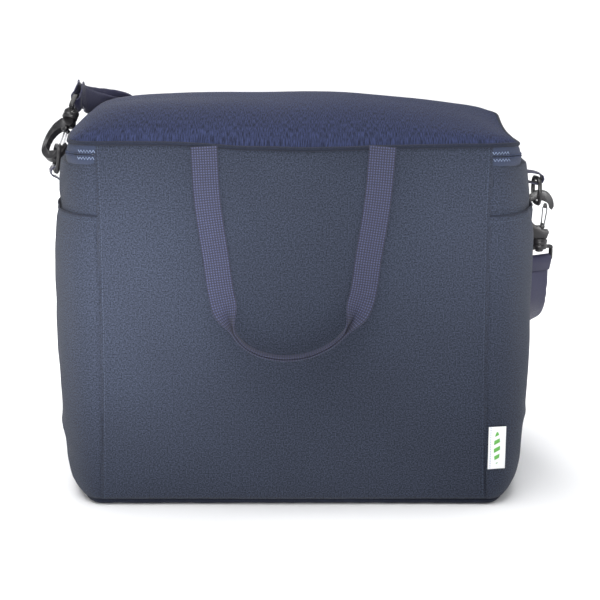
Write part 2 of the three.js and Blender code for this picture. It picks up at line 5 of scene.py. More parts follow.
import bmesh
import bpy
import numpy as np
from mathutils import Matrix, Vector


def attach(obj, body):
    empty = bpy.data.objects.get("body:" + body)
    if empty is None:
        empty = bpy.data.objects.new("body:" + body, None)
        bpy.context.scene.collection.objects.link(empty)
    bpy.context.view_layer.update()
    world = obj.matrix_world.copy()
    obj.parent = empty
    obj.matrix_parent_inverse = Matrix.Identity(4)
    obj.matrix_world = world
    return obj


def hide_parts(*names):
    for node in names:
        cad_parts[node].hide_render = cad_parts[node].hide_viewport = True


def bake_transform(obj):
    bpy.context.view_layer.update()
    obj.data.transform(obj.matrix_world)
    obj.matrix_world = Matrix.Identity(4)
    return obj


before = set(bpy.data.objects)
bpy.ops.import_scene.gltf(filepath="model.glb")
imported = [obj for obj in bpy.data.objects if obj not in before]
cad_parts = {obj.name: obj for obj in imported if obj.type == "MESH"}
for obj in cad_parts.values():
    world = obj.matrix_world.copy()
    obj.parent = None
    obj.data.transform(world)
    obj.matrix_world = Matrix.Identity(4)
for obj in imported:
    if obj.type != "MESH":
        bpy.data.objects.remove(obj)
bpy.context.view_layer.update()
MM = 0.001

# ---- shape of the bag, in metres, the same driving sizes as the CAD ----
SEAM_X = 0.184
CORNER_Y = 0.066
HALF_Y = 0.125
RING_X, RING_Y, RING_R = 0.2135, 0.120, 0.027
HINGE_Z = 0.352
WALL_TOP = 0.331
POCKET_TOP = 0.290
ZIP_LINE = 0.3415
CLOTH = 0.0012
LEVELS = np.array([0, 10, 26, 70, 150, 262, 290, 331, 352]) * MM
WIDTHS = np.array([207, 217.5, 224, 228.5, 231.5, 231.5, 231, 227, 222]) * MM
DEPTHS = np.array([116.5, 120.5, 122.5, 124.5, 125, 125, 123.5, 121.5, 120.4]) * MM
SEAMS = np.array([189, 188, 187, 185.5, 184, 183, 183, 184, 184.5]) * MM


def eased(z, values):
    """A driving size at the heights z, its corners smoothed."""
    reach = np.minimum(0.012, 0.5 * z)
    return np.mean([np.interp(z + s * reach, LEVELS, values) for s in np.linspace(-1, 1, 9)], axis=0)


def smoothed(x, places, values, reach):
    """The values given at some places, read at x, their corners smoothed over a reach to either side."""
    return np.mean([np.interp(x + s, places, values) for s in np.linspace(-reach, reach, 7)], axis=0)


def waves(x, y, size, seed):
    """Smooth bumps of about the given size, between -1 and 1, the same on each run."""
    rng = np.random.default_rng(seed)
    total = np.zeros(np.broadcast(x, y).shape)
    for _ in range(7):
        turn, phase = rng.uniform(0, 2 * math.pi, 2)
        reach = size * rng.uniform(0.7, 1.6)
        along = x * math.cos(turn) + y * math.sin(turn)
        total += np.sin(2 * math.pi * along / reach + phase)
    return total / (0.55 * 7)


def hump(value, middle, reach):
    """A smooth bump of height one around the middle."""
    return np.exp(-(((value - middle) / reach) ** 2))


def rising(value, start, span):
    """Nothing before start, one from start + span on, straight between. A negative span falls instead."""
    return np.clip((value - start) / span, 0, 1)


def unit(vectors):
    return vectors / np.linalg.norm(vectors, axis=-1, keepdims=True)


def travelled(line):
    """Distance from a line's start to each of its points."""
    return np.concatenate([[0], np.cumsum(np.linalg.norm(np.diff(line, axis=0), axis=1))])


# ---- camera and light ----
def placed(name, data):
    """An object for the data, put in the scene."""
    made = bpy.data.objects.new(name, data)
    bpy.context.scene.collection.objects.link(made)
    return made


def make_camera():
    """The camera fitted to the photograph. It looks along +Y, pitched 15 degrees down."""
    data = bpy.data.cameras.new("camera")
    data.sensor_width = 36
    data.lens = 103.14
    camera = placed("camera", data)
    camera.location = (0.006, -1.694, 0.630)
    camera.rotation_euler = (math.radians(90 - 15), 0, 0)
    bpy.context.scene.camera = camera


def light(name, kind, place, target, power):
    """A lamp that shines from its place towards a target."""
    data = bpy.data.lights.new(name, kind)
    data.energy = power
    lamp = placed(name, data)
    lamp.location = place
    lamp.rotation_euler = (Vector(target) - Vector(place)).to_track_quat("-Z", "Y").to_euler()
    return data


def spot_light(name, place, target, spread, power):
    data = light(name, "SPOT", place, target, power)
    data.spot_size = math.radians(spread)
    data.spot_blend = 1
    data.shadow_soft_size = 0.12


def area_light(name, place, target, size, power):
    data = light(name, "AREA", place, target, power)
    data.shape = "DISK"
    data.size = size


def make_studio():
    """White at the horizon and grey above, an overhead sun for the floor, and spots that shape the front."""
    scene = bpy.context.scene
    scene.view_settings.view_transform = "Standard"
    world = bpy.data.worlds.new("studio")
    world.use_nodes = True
    tree = world.node_tree
    height = tree.nodes.new("ShaderNodeSeparateXYZ")
    tree.links.new(tree.nodes.new("ShaderNodeTexCoord").outputs["Generated"], height.inputs[0])
    sky = tree.nodes.new("ShaderNodeValToRGB")
    low, high = sky.color_ramp.elements
    low.position, low.color = 0.15, grey(1)
    high.position, high.color = 0.30, (0.30, 0.31, 0.33, 1)
    tree.links.new(height.outputs["Z"], sky.inputs[0])
    tree.links.new(sky.outputs["Color"], tree.nodes["Background"].inputs["Color"])
    scene.world = world
    light("overhead", "SUN", (0, 0, 0), (0.10, 0.10, -1), 2.9).angle = math.radians(50)
    spot_light("left_softbox", (-0.02, -1.43, 0.46), (-0.215, -0.12, 0.225), 18, 186)
    spot_light("right_softbox", (0.06, -1.43, 0.52), (0.180, -0.12, 0.28), 13.5, 120)
    spot_light("lower_softbox", (0.0, -1.45, 0.40), (0.02, -0.12, 0.020), 18, 40)
    spot_light("upper_softbox", (0.0, -1.40, 0.80), (-0.02, -0.12, 0.360), 12, 84)
    area_light("rear_softbox", (-0.5, 1.5, 0.7), (0, 0.12, 0.2), 0.8, 12)
    area_light("side_softbox", (1.5, 0.3, 0.7), (0.2, 0, 0.2), 0.8, 4)


# ---- meshes ----
def lay_texture(mesh, layer, uvs):
    """Gives each corner of each face the texture coordinates of its vertex."""
    corner = np.zeros(len(mesh.loops), np.int64)
    mesh.loops.foreach_get("vertex_index", corner)
    layer.data.foreach_set("uv", np.asarray(uvs, float)[corner].ravel())


def mesh_object(name, points, faces, uvs=None, smooth=True):
    mesh = bpy.data.meshes.new(name)
    mesh.from_pydata([tuple(p) for p in np.asarray(points, float)], [], faces)
    if uvs is not None:
        lay_texture(mesh, mesh.uv_layers.new(name="UVMap"), uvs)
    mesh.polygons.foreach_set("use_smooth", [smooth] * len(mesh.polygons))
    mesh.update()
    return placed(name, mesh)


def lengths(grid, axis):
    """Distance along a grid axis, in metres, for texture coordinates."""
    step = np.linalg.norm(np.diff(grid, axis=axis), axis=2).mean(axis=1 - axis)
    return np.concatenate([[0], np.cumsum(step)])


def grid_faces(rows, columns, start=0, closed=False, flip=False):
    faces = []
    for r in range(rows - 1):
        for c in range(columns if closed else columns - 1):
            a = start + r * columns + c
            b = start + r * columns + (c + 1) % columns
            quad = (a, b, b + columns, a + columns)
            faces.append(quad[::-1] if flip else quad)
    return faces


def grid_uvs(grid):
    u, v = lengths(grid, 1), lengths(grid, 0)
    return np.stack(np.meshgrid(u - u[-1] / 2, v), axis=2).reshape(-1, 2)


def normals(grid):
    """Unit normals of a grid, to the right of its rows' direction going up."""
    along = np.gradient(grid, axis=1)
    up = np.gradient(grid, axis=0)
    cross = np.cross(along, up)
    size = np.linalg.norm(cross, axis=2, keepdims=True)
    return cross / np.maximum(size, 1e-12)


def slab(name, outer, inner, closed=False):
    """A closed layer between two grids of the same size."""
    rows, columns = outer.shape[:2]
    count = rows * columns
    faces = grid_faces(rows, columns, 0, closed) + grid_faces(rows, columns, count, closed, True)
    last, end = (rows - 1) * columns, columns - 1
    for c in range(columns if closed else end):
        d = (c + 1) % columns
        faces.append((c, c + count, d + count, d))
        faces.append((last + c, last + d, last + d + count, last + c + count))
    for a in range(0, 0 if closed else last, columns):
        b = a + columns
        faces.append((a, b, b + count, a + count))
        faces.append((a + end, a + end + count, b + end + count, b + end))
    points = np.concatenate([outer.reshape(-1, 3), inner.reshape(-1, 3)])
    uvs = np.concatenate([grid_uvs(outer), grid_uvs(inner)])
    return mesh_object(name, points, faces, uvs)


def lay_flat(piece):
    """Texture coordinates taken straight down, so that the cloth's threads run front to back."""
    plan = [vertex.co[:2] for vertex in piece.data.vertices]
    lay_texture(piece.data, piece.data.uv_layers[0], plan)
    return piece


def cloth_layer(name, grid, thickness=CLOTH, closed=False):
    """A skin whose outside is the grid."""
    return slab(name, grid, grid - normals(grid) * thickness, closed)


def swept(name, grid, line, across, closed=False):
    """A section carried along a line, capped at both ends or joined end to end."""
    rows, sides = grid.shape[:2]
    faces = grid_faces(rows, sides, 0, True)
    last = (rows - 1) * sides
    if closed:
        faces += [(last + c, last + (c + 1) % sides, (c + 1) % sides, c) for c in range(sides)]
    else:
        faces += [tuple(range(sides))[::-1], tuple(last + c for c in range(sides))]
    uvs = np.stack(np.meshgrid(across, travelled(line)), axis=2).reshape(-1, 2)
    return mesh_object(name, grid.reshape(-1, 3), faces, uvs)


def tube(name, line, radius, sides=10, closed=False):
    """A round section swept along a line. Radius may vary."""
    around_line = np.roll(line, -1, axis=0) - np.roll(line, 1, axis=0)
    along = unit(around_line if closed else np.gradient(line, axis=0))
    side = unit(np.cross(along, (0.05, 0.02, 1.0)))
    up = np.cross(side, along)
    turn = np.linspace(0, 2 * math.pi, sides, endpoint=False)
    reach = np.broadcast_to(np.asarray(radius, float), (len(line),))[:, None, None]
    ring = side[:, None] * np.cos(turn)[None, :, None] + up[:, None] * np.sin(turn)[None, :, None]
    return swept(name, line[:, None] + ring * reach, line, turn * np.mean(reach), closed)


def resample(line, pitch):
    """Points one pitch apart along a line."""
    far = travelled(line)
    places = np.arange(pitch / 2, far[-1], pitch)
    return np.stack([np.interp(places, far, line[:, k]) for k in range(3)], axis=1)


STITCH_TURNS = np.linspace(0, 2 * math.pi, 6, endpoint=False)
STITCH_STATIONS = ((-0.5, 0.35), (-0.25, 1.0), (0.25, 1.0), (0.5, 0.35))


def stitches(name, line, pitch=3.4 * MM, length=2.5 * MM, radius=0.32 * MM, across=None):
    """A row of small raised threads along a line, or across it."""
    places = resample(line, pitch)
    along = unit(np.gradient(places, axis=0))
    if across is not None:
        along = np.broadcast_to(np.asarray(across, float), along.shape)
    side = unit(np.cross(along, (0.31, 0.57, 0.76)))
    up = np.cross(side, along)
    ring = side[:, None] * np.cos(STITCH_TURNS)[:, None] + up[:, None] * np.sin(STITCH_TURNS)[:, None]
    grid = np.stack([places[:, None] + along[:, None] * reach * length + ring * radius * width
                     for reach, width in STITCH_STATIONS], axis=1)
    count, sides = len(STITCH_STATIONS), len(STITCH_TURNS)
    points = grid.reshape(-1, 3)
    faces = []
    for start in range(0, len(points), count * sides):
        faces += grid_faces(count, sides, start, True)
        faces.append(tuple(range(start, start + sides))[::-1])
        faces.append(tuple(range(start + (count - 1) * sides, start + count * sides)))
    return mesh_object(name, points, faces, points[:, :2])


# ---- webbing ----
WEBBING_WIDTH, WEBBING_THICKNESS = 25 * MM, 1.7 * MM


def spline(points, count):
    """Centripetal Catmull-Rom line through points, and where each sample lies among them."""
    p = np.concatenate([[2 * points[0] - points[1]], points, [2 * points[-1] - points[-2]]])
    gap = np.sqrt(np.linalg.norm(np.diff(p, axis=0), axis=1))
    knots = np.concatenate([[0], np.cumsum(gap)])
    fine, place = [], []
    for i in range(1, len(p) - 2):
        t = np.linspace(knots[i], knots[i + 1], 24, endpoint=i == len(p) - 3)[:, None]
        k = knots[i - 1:i + 3]
        a = [((k[j + 1] - t) * p[i - 1 + j] + (t - k[j]) * p[i + j]) / (k[j + 1] - k[j]) for j in range(3)]
        b = [((k[j + 2] - t) * a[j] + (t - k[j]) * a[j + 1]) / (k[j + 2] - k[j]) for j in range(2)]
        fine.append(((k[2] - t) * b[0] + (t - k[1]) * b[1]) / (k[2] - k[1]))
        place.append(i - 1 + (t[:, 0] - knots[i]) / (knots[i + 1] - knots[i]))
    fine, place = np.concatenate(fine), np.concatenate(place)
    far = travelled(fine)
    even = np.linspace(0, far[-1], count)
    line = np.stack([np.interp(even, far, fine[:, k]) for k in range(3)], axis=1)
    return line, np.interp(even, far, place)


def band_lines(route, count):
    """A webbing route of [x, y, z, across x, y, z] rows in millimetres, as its line and its frames."""
    route = np.asarray(route, float)
    line, place = spline(route[:, :3] * MM, count)
    index = np.arange(len(route))
    wide = np.stack([np.interp(place, index, route[:, 3 + k]) for k in range(3)], axis=1)
    along = unit(np.gradient(line, axis=0))
    wide = unit(wide - along * np.sum(wide * along, axis=1, keepdims=True))
    return line, wide, np.cross(along, wide)


def half_thickness(across, swell, rounding):
    """Half the webbing's thickness across its width: swollen near its edges, rounded off at them."""
    far = np.abs(across)
    return WEBBING_THICKNESS / 2 * (1 + swell * far ** 10 - rounding * (far > 0.999))


def webbing(name, route, count, crease, seed):
    """A woven strap: a flat section with thickened, rounded edges and a slight lengthwise bow."""
    line, wide, face = band_lines(route, count)
    across = np.concatenate([np.linspace(-1, 1, 15), np.linspace(1, -1, 15)])
    top = np.concatenate([np.ones(15), -np.ones(15)])
    far = np.linspace(0, 1, count) * count
    bow = crease * waves(far / 14, far * 0, 1.0, seed)[:, None] * (1 - across ** 2)[None, :]
    wander = 0.25 * MM * waves(far / 6, far * 0 + 2, 1.0, seed + 1)[:, None] * np.abs(across[None, :]) ** 6
    offset = (top * half_thickness(across, 0.18, 0.75))[None, :] + bow
    reach = across[None, :] * WEBBING_WIDTH / 2 + wander * np.sign(across)[None, :]
    grid = line[:, None] + wide[:, None] * reach[..., None] + face[:, None] * offset[..., None]
    return swept(name, grid, line, across * WEBBING_WIDTH / 2)


# ---- materials ----
def srgb(red, green, blue):
    """An 8-bit display colour as linear values."""
    def linear(c):
        c /= 255
        return c / 12.92 if c <= 0.04045 else ((c + 0.055) / 1.055) ** 2.4
    return (linear(red), linear(green), linear(blue), 1)


def grey(level):
    return (level, level, level, 1)


class Shader:
    """A Principled material and short ways to add nodes to it."""

    def __init__(self, name, roughness, metallic=0.0, sheen=0.0):
        self.material = bpy.data.materials.new(name)
        self.material.use_nodes = True
        self.tree = self.material.node_tree
        self.bsdf = self.tree.nodes["Principled BSDF"]
        self.bsdf.inputs["Roughness"].default_value = roughness
        self.bsdf.inputs["Metallic"].default_value = metallic
        self.bsdf.inputs["Sheen Weight"].default_value = sheen

    def add(self, kind, values=None, **settings):
        made = self.tree.nodes.new("ShaderNode" + kind)
        for key, value in settings.items():
            setattr(made, key, value)
        for key, value in (values or {}).items():
            if isinstance(value, bpy.types.NodeSocket):
                self.tree.links.new(value, made.inputs[key])
            else:
                made.inputs[key].default_value = value
        return made

    def uv(self, scale=(1, 1, 1), shift=(0, 0, 0)):
        source = self.add("TexCoord").outputs["UV"]
        return self.add("Mapping", {"Vector": source, "Scale": scale, "Location": shift}).outputs["Vector"]

    def place(self, scale=(1, 1, 1)):
        source = self.add("TexCoord").outputs["Object"]
        return self.add("Mapping", {"Vector": source, "Scale": scale}).outputs["Vector"]

    def noise(self, vector, scale, detail=2.0, roughness=0.5):
        values = {"Vector": vector, "Scale": scale, "Detail": detail, "Roughness": roughness}
        return self.add("TexNoise", values).outputs["Fac"]

    def bands(self, vector, pitch, direction):
        """Parallel ridges one pitch apart: the wave texture repeats every pi/10 over its scale."""
        values = {"Vector": vector, "Scale": math.pi / 10 / pitch}
        made = self.add("TexWave", values, wave_type="BANDS", bands_direction=direction, wave_profile="SIN")
        return made.outputs["Fac"]

    def math(self, operation, first, second):
        return self.add("Math", {0: first, 1: second}, operation=operation).outputs[0]

    def ramp(self, factor, *stops):
        made = self.add("ValToRGB", {"Fac": factor})
        elements = made.color_ramp.elements
        while len(elements) < len(stops):
            elements.new(0.5)
        for element, (position, color) in zip(elements, stops):
            element.position = position
            element.color = color
        return made.outputs["Color"]

    def blend(self, factor, first, second, kind="MIX"):
        made = self.add("MixRGB", {"Fac": factor, "Color1": first, "Color2": second}, blend_type=kind)
        return made.outputs["Color"]

    def times(self, first, second):
        """Two colours multiplied."""
        return self.blend(1.0, first, second, "MULTIPLY")

    def color(self, socket):
        self.tree.links.new(socket, self.bsdf.inputs["Base Color"])

    def rough(self, socket):
        self.tree.links.new(socket, self.bsdf.inputs["Roughness"])

    def bump(self, height, distance, strength):
        made = self.add("Bump", {"Height": height, "Distance": distance, "Strength": strength})
        self.tree.links.new(made.outputs["Normal"], self.bsdf.inputs["Normal"])


def shaded(color, share):
    return (*(c * share for c in color[:3]), 1)


def woven(name, color, pitch, heather, streak, roughness=0.88, sheen=0.05):
    """Plain-woven cloth of mixed yarns, its lighter threads and dust in soft patches, with painted shade in
    the weave's hollows and a painted highlight on its crossings.
    """
    shader = Shader(name, roughness, sheen=sheen)
    shader.bsdf.inputs["Specular IOR Level"].default_value = 0.25
    cloth = shader.uv()
    warp = shader.bands(cloth, pitch, "X")
    weft = shader.bands(cloth, pitch * 1.15, "Y")
    weave = shader.math("MULTIPLY", warp, weft)
    yarns = shader.noise(shader.uv((*streak, 1)), 1.0, 3.0, 0.65)
    patches = shader.noise(cloth, 14.0, 4.0, 0.6)
    dark, pale = shaded(color, 1 - heather), shaded(color, 1 + heather)
    base = shader.ramp(yarns, (0.40, dark), (0.5, color), (0.62, pale))
    # Painted shade and highlight: darker where the weave dips, lighter on the raised thread crossings.
    depth = shader.ramp(weave, (0.0, grey(0.86)), (1.0, grey(1.1)))
    wear = shader.ramp(patches, (0.35, (0.93, 0.93, 0.94, 1)), (0.7, (1.06, 1.06, 1.05, 1)))
    shader.color(shader.times(shader.times(base, depth), wear))
    shader.rough(shader.ramp(patches, (0.3, grey(roughness - 0.05)), (0.8, grey(roughness + 0.06))))
    relief = shader.math("ADD", weave, shader.math("MULTIPLY", yarns, 0.8))
    shader.bump(relief, 0.35 * MM, 0.7)
    return shader.material


def ribbed(name, color, rib, roughness=0.8):
    """Heavy webbing: ribs across, fine warp threads along, painted shade in the grooves and a painted
    highlight on the rib crowns.
    """
    shader = Shader(name, roughness, sheen=0.05)
    band = shader.uv()
    ribs = shader.bands(band, rib, "Y")
    threads = shader.bands(band, rib * 0.8, "X")
    grain = shader.noise(shader.uv((500, 1500, 1)), 1.0, 2.0)
    weave = shader.math("MULTIPLY", ribs, shader.math("ADD", shader.math("MULTIPLY", threads, 0.5), 0.5))
    base = shader.ramp(grain, (0.3, shaded(color, 0.84)), (0.7, shaded(color, 1.16)))
    # Painted shade in the grooves between ribs, painted highlight on the raised ribs.
    depth = shader.ramp(weave, (0.0, (0.62, 0.62, 0.64, 1)), (0.6, grey(1.08)))
    shader.color(shader.times(base, depth))
    shader.bump(weave, 0.5 * MM, 0.8)
    return shader.material


def basket(name, color, cell):
    """Basket-woven webbing: raised cells with a painted highlight on their tops, and painted shade in the
    gaps between them.
    """
    shader = Shader(name, 0.75, sheen=0.08)
    band = shader.uv()
    cells = shader.math("MULTIPLY", shader.bands(band, cell, "Y"), shader.bands(band, cell, "X"))
    fine = shader.bands(band, cell / 4, "X")
    grain = shader.noise(shader.uv((900, 900, 1)), 1.0, 2.0)
    # Painted light: shade painted into the gaps, the cells' sides a little darker, their raised tops painted
    # lighter as if lit.
    gap, side, top = (shaded(color, share) for share in (0.28, 0.9, 1.6))
    base = shader.ramp(cells, (0.0, gap), (0.3, side), (0.9, top))
    tone = shader.ramp(grain, (0.35, (0.85, 0.85, 0.86, 1)), (0.65, grey(1.15)))
    shader.color(shader.times(base, tone))
    relief = shader.math("ADD", cells, shader.math("MULTIPLY", fine, 0.15))
    shader.bump(relief, 0.6 * MM, 0.8)
    return shader.material


def moulded(name, color, roughness):
    """Moulded plastic with a fine spark texture, scuffed in patches."""
    shader = Shader(name, roughness)
    spark = shader.noise(shader.place(), 1800.0, 2.0)
    scuffs = shader.noise(shader.place((1, 1, 3)), 90.0, 5.0, 0.7)
    shader.color(shader.ramp(scuffs, (0.35, color), (0.75, shaded(color, 1.5))))
    shader.rough(shader.ramp(scuffs, (0.3, grey(roughness)), (0.7, grey(roughness + 0.16))))
    shader.bump(spark, 0.08 * MM, 0.5)
    return shader.material


def drawn_wire(name):
    shader = Shader(name, 0.28, metallic=1.0)
    lines = shader.noise(shader.place((3000, 3000, 60)), 1.0, 3.0)
    shader.color(shader.ramp(lines, (0.3, (0.16, 0.16, 0.17, 1)), (0.7, (0.34, 0.34, 0.35, 1))))
    shader.rough(shader.ramp(lines, (0.3, grey(0.2)), (0.7, grey(0.4))))
    shader.bump(lines, 0.05 * MM, 0.3)
    return shader.material


def foil(name):
    """Silver laminated liner, embossed in small diamonds and softly crinkled."""
    shader = Shader(name, 0.32, metallic=0.55)
    one = shader.bands(shader.uv((0.7, 0.7, 1)), 4 * MM, "DIAGONAL")
    other = shader.bands(shader.uv((-0.7, 0.7, 1)), 4 * MM, "DIAGONAL")
    crinkle = shader.noise(shader.uv(), 60.0, 5.0, 0.6)
    diamonds = shader.math("MULTIPLY", one, other)
    height = shader.math("ADD", diamonds, shader.math("MULTIPLY", crinkle, 2.0))
    shader.color(shader.ramp(crinkle, (0.3, srgb(176, 180, 186)), (0.7, srgb(216, 219, 223))))
    shader.rough(shader.ramp(crinkle, (0.3, grey(0.25)), (0.7, grey(0.45))))
    shader.bump(height, 0.5 * MM, 0.6)
    return shader.material


def foam_stuff(name):
    shader = Shader(name, 0.95)
    cells = shader.add("TexVoronoi", {"Vector": shader.place(), "Scale": 900.0}).outputs["Distance"]
    shader.color(shader.ramp(cells, (0.1, srgb(214, 214, 208)), (0.6, srgb(238, 238, 233))))
    shader.bump(cells, 0.3 * MM, 0.6)
    return shader.material


def label_cloth(name):
    """White satin label with a generic green mark of slanted strokes, no lettering."""
    shader = Shader(name, 0.55, sheen=0.1)
    cloth = shader.uv()
    satin = shader.bands(cloth, 0.5 * MM, "Y")
    base = shader.ramp(satin, (0.0, srgb(236, 238, 238)), (1.0, srgb(255, 255, 255)))
    middle = shader.uv((310, 58, 1), (0, -1.25, 0))
    spot = shader.add("TexGradient", {"Vector": middle}, gradient_type="SPHERICAL")
    patch = shader.ramp(spot.outputs["Fac"], (0.02, grey(0)), (0.08, grey(1)))
    strokes = shader.bands(shader.uv((-0.5, 1, 1)), 4 * MM, "DIAGONAL")
    mark = shader.times(patch, shader.ramp(strokes, (0.42, grey(0)), (0.5, grey(1))))
    shader.color(shader.blend(mark, base, srgb(96, 178, 72)))
    shader.bump(satin, 0.12 * MM, 0.5)
    return shader.material


def floor_stuff(name):
    shader = Shader(name, 0.9)
    grain = shader.noise(shader.place(), 3.0, 3.0)
    shader.color(shader.ramp(grain, (0.3, (0.93, 0.93, 0.935, 1)), (0.7, grey(0.95))))
    return shader.material


LOOKS = {
    "outer_cloth": (woven, srgb(48, 54, 69), 0.9 * MM, 0.55, (760, 720)),
    "lid_cloth": (woven, srgb(39, 46, 74), 0.8 * MM, 0.65, (1300, 150), 0.92, 0.01),
    "piping_cloth": (woven, srgb(31, 36, 51), 0.7 * MM, 0.25, (700, 400)),
    "zip_tape": (ribbed, srgb(49, 59, 84), 0.8 * MM),
    "handle_webbing": (basket, srgb(53, 57, 85), 2.4 * MM),
    "strap_webbing": (ribbed, srgb(42, 42, 72), 1.0 * MM, 0.55),
    "thread": (woven, srgb(66, 75, 93), 0.3 * MM, 0.1, (2000, 2000)),
    "pale_thread": (woven, srgb(150, 166, 196), 0.3 * MM, 0.1, (2000, 2000)),
    "black_plastic": (moulded, srgb(27, 26, 28), 0.32),
    "board": (moulded, srgb(48, 48, 50), 0.5),
    "steel_wire": (drawn_wire,),
    "liner": (foil,),
    "foam": (foam_stuff,),
    "label_cloth": (label_cloth,),
}
STUFF = {name: make(name, *values) for name, (make, *values) in LOOKS.items()}


def finish_piece(piece, body, stuff, replaces=()):
    """Gives a piece its material and its body, and hides the CAD nodes that it stands for."""
    piece.data.materials.clear()
    piece.data.materials.append(STUFF[stuff])
    if body:
        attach(piece, body)
    if replaces:
        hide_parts(*replaces)
    return piece


# ---- the bag's surfaces ----
def stations(corner, side):
    """Round one end from the front seam to the rear one: turn of the corner, and run of the side."""
    front = [(-math.pi / 2 * (1 - k / corner), -1.0) for k in range(corner)]
    flat = [(0.0, -1 + 2 * k / side) for k in range(side)]
    rear = [(math.pi / 2 * k / corner, 1.0) for k in range(corner + 1)]
    turn, run = np.array(front + flat + rear).T
    return turn, run


TURN, RUN = stations(14, 16)


def end_outline(z, inset):
    """One end's outline on the bag's body at the heights z."""
    seam, width, depth = (eased(z, v)[..., None] for v in (SEAMS, WIDTHS, DEPTHS))
    inset = np.broadcast_to(inset, z.shape)[..., None]
    reach = (width - seam) / (WIDTHS[4] - SEAM_X) * (WIDTHS[4] - SEAM_X - inset)
    x = seam + reach * np.cos(TURN)
    flat = HALF_Y - CORNER_Y
    y = (RUN * flat + (CORNER_Y - inset) * np.sin(TURN)) * depth / HALF_Y
    return x, y


def ring_outline(inset):
    """One end of the lid's outline."""
    x = RING_X - RING_R + (RING_R - inset) * np.cos(TURN)
    y = RUN * (RING_Y - RING_R) + (RING_R - inset) * np.sin(TURN)
    return x, y


def ring_runs(x, y, steps):
    """The right end, the rear, the left end and the front of a ring whose right end is x, y."""
    ease = 1 - 2 * np.linspace(0, 1, steps + 2)[1:-1]
    return [np.column_stack([x, y]), np.column_stack([x[-1] * ease, np.full(steps, y[-1])]),
            np.column_stack([-x[::-1], y[::-1]]), np.column_stack([-x[0] * ease, np.full(steps, y[0])])]


def end_relief(sign, z):
    """How far the soft end stands out of its outline: slack belly, dents and creases."""
    seed = 30 + sign
    place = RUN * (HALF_Y - CORNER_Y) + CORNER_Y * np.sin(TURN)
    y = np.broadcast_to(place[None, :], z.shape)
    relief = 1.3 * MM * waves(y, z, 0.11, seed) + 0.5 * MM * waves(y * 1.4, z, 0.045, seed + 1)
    relief += (1.6 * hump(z, 0.16, 0.10) + 1.8 * hump(z, 0.02, 0.03)) * MM * np.cos(TURN)[None, :]
    from_seam = np.minimum(np.abs(TURN + math.pi / 2), np.abs(TURN - math.pi / 2)) * 0.05
    relief -= 0.7 * MM * np.exp(-from_seam / 0.004)[None, :]
    relief += 0.7 * MM * np.exp(-from_seam / 0.012)[None, :] * waves(z * 0, z, 0.02, seed + 2)
    fold = z - (0.315 if sign < 0 else 0.300) + 0.9 * (y + 0.10)
    relief -= 2.6 * MM * hump(fold, 0, 0.008) * hump(y, -0.085, 0.035) * (z < 0.335)
    foot = z - 0.075 - (0.35 if sign < 0 else -0.2) * (y + 0.05)
    relief += 1.6 * MM * hump(foot, 0, 0.007) * hump(y, -0.05, 0.06)
    return relief


def end_grid(sign, heights, inset):
    """One end's surface, rows going up. The inset may vary with height."""
    x, y = end_outline(heights, inset)
    z = np.broadcast_to(heights[:, None], x.shape)
    grid = np.dstack([x, y, z])
    fade = rising(z, 0, 0.02) * np.clip((WALL_TOP + 0.010 - z) / 0.05, 0.1, 1)
    drawn_in = 2.6 * MM * rising(z, 0.235, 0.06) ** 2 - 1.5 * MM * hump(z, 0.018, 0.03)
    relief = end_relief(sign, z) * fade - drawn_in * np.cos(TURN)
    grid = grid + normals(grid) * relief[..., None]
    if sign < 0:
        grid = grid[:, ::-1] * (-1, 1, 1)
    return grid


def front_relief(x, z):
    """Slack of the front panel: belly, dents beside the handle, puckers along its seams."""
    relief = 1.0 * MM * waves(x, z, 0.16, 11) + 0.3 * MM * waves(x, z * 0.7, 0.05, 12)
    relief += 2.2 * MM * (1 - (x / SEAM_X) ** 2) * hump(z, 0.17, 0.13)
    edge = np.clip(SEAM_X + 0.002 - np.abs(x), 0, None)
    relief -= 0.8 * MM * np.exp(-edge / 0.0035)
    relief += 0.6 * MM * np.exp(-edge / 0.012) * waves(x * 0, z, 0.024, 13)
    handle = rising(z, 0.17, 0.08) * rising(z, HINGE_Z, -0.02)
    relief -= 3.0 * MM * (hump(np.abs(x), 0.106, 0.016) + hump(np.abs(x), 0.046, 0.016)) * handle
    relief += 1.5 * MM * hump(x, 0, 0.05) * hump(z, 0.30, 0.05)
    relief -= 1.2 * MM * hump(z, 0.342, 0.008) * hump(x, 0, 0.10)
    return relief


def long_grid(side, heights, inset, relief):
    """The front's (side -1) or the rear's (side 1) surface between its seams, rows going up."""
    seam = eased(heights, SEAMS)[:, None]
    across = np.linspace(-1, 1, 141)[None, :]
    x = side * -1 * across * (seam - 0.0004)
    z = np.broadcast_to(heights[:, None], x.shape)
    fade = rising(z, 0, 0.02) * np.clip((0.356 - z) / 0.02, 0.2, 1)
    y = side * (eased(heights, DEPTHS)[:, None] - inset + relief(x, z) * fade)
    lift = rim_rise(x, y) * rising(z, 0.30, 0.048)
    return np.dstack([x, y, z + lift])


RISE_X = np.array([-214, -130, -95, -50, 0, 40, 90, 150, 214]) * MM
RISE = np.array([6.0, 6.5, 5.5, 2.0, 0.8, 1.0, 3.0, 4.0, 4.5]) * MM


def rim_rise(x, y):
    """How far the bag's rim stands above its flat seam: up at the front's ends, none at the rear."""
    rise = smoothed(x, RISE_X, RISE, 0.012)
    sag = 4 * MM * rising(x, 0.15, 0.05) ** 2 * np.clip(1 - (y / RING_Y) ** 2, 0, 1)
    return rise * rising(y, 0, -0.12) - sag


def rear_relief(x, z):
    """Slack of the rear panel, drawn in at its seams."""
    edge = np.clip(SEAM_X + 0.002 - np.abs(x), 0, None)
    slack = 1.4 * MM * waves(x, z, 0.15, 21) + 0.5 * MM * waves(x, z, 0.05, 22)
    return slack - 2.0 * MM * np.exp(-edge / 0.0035)


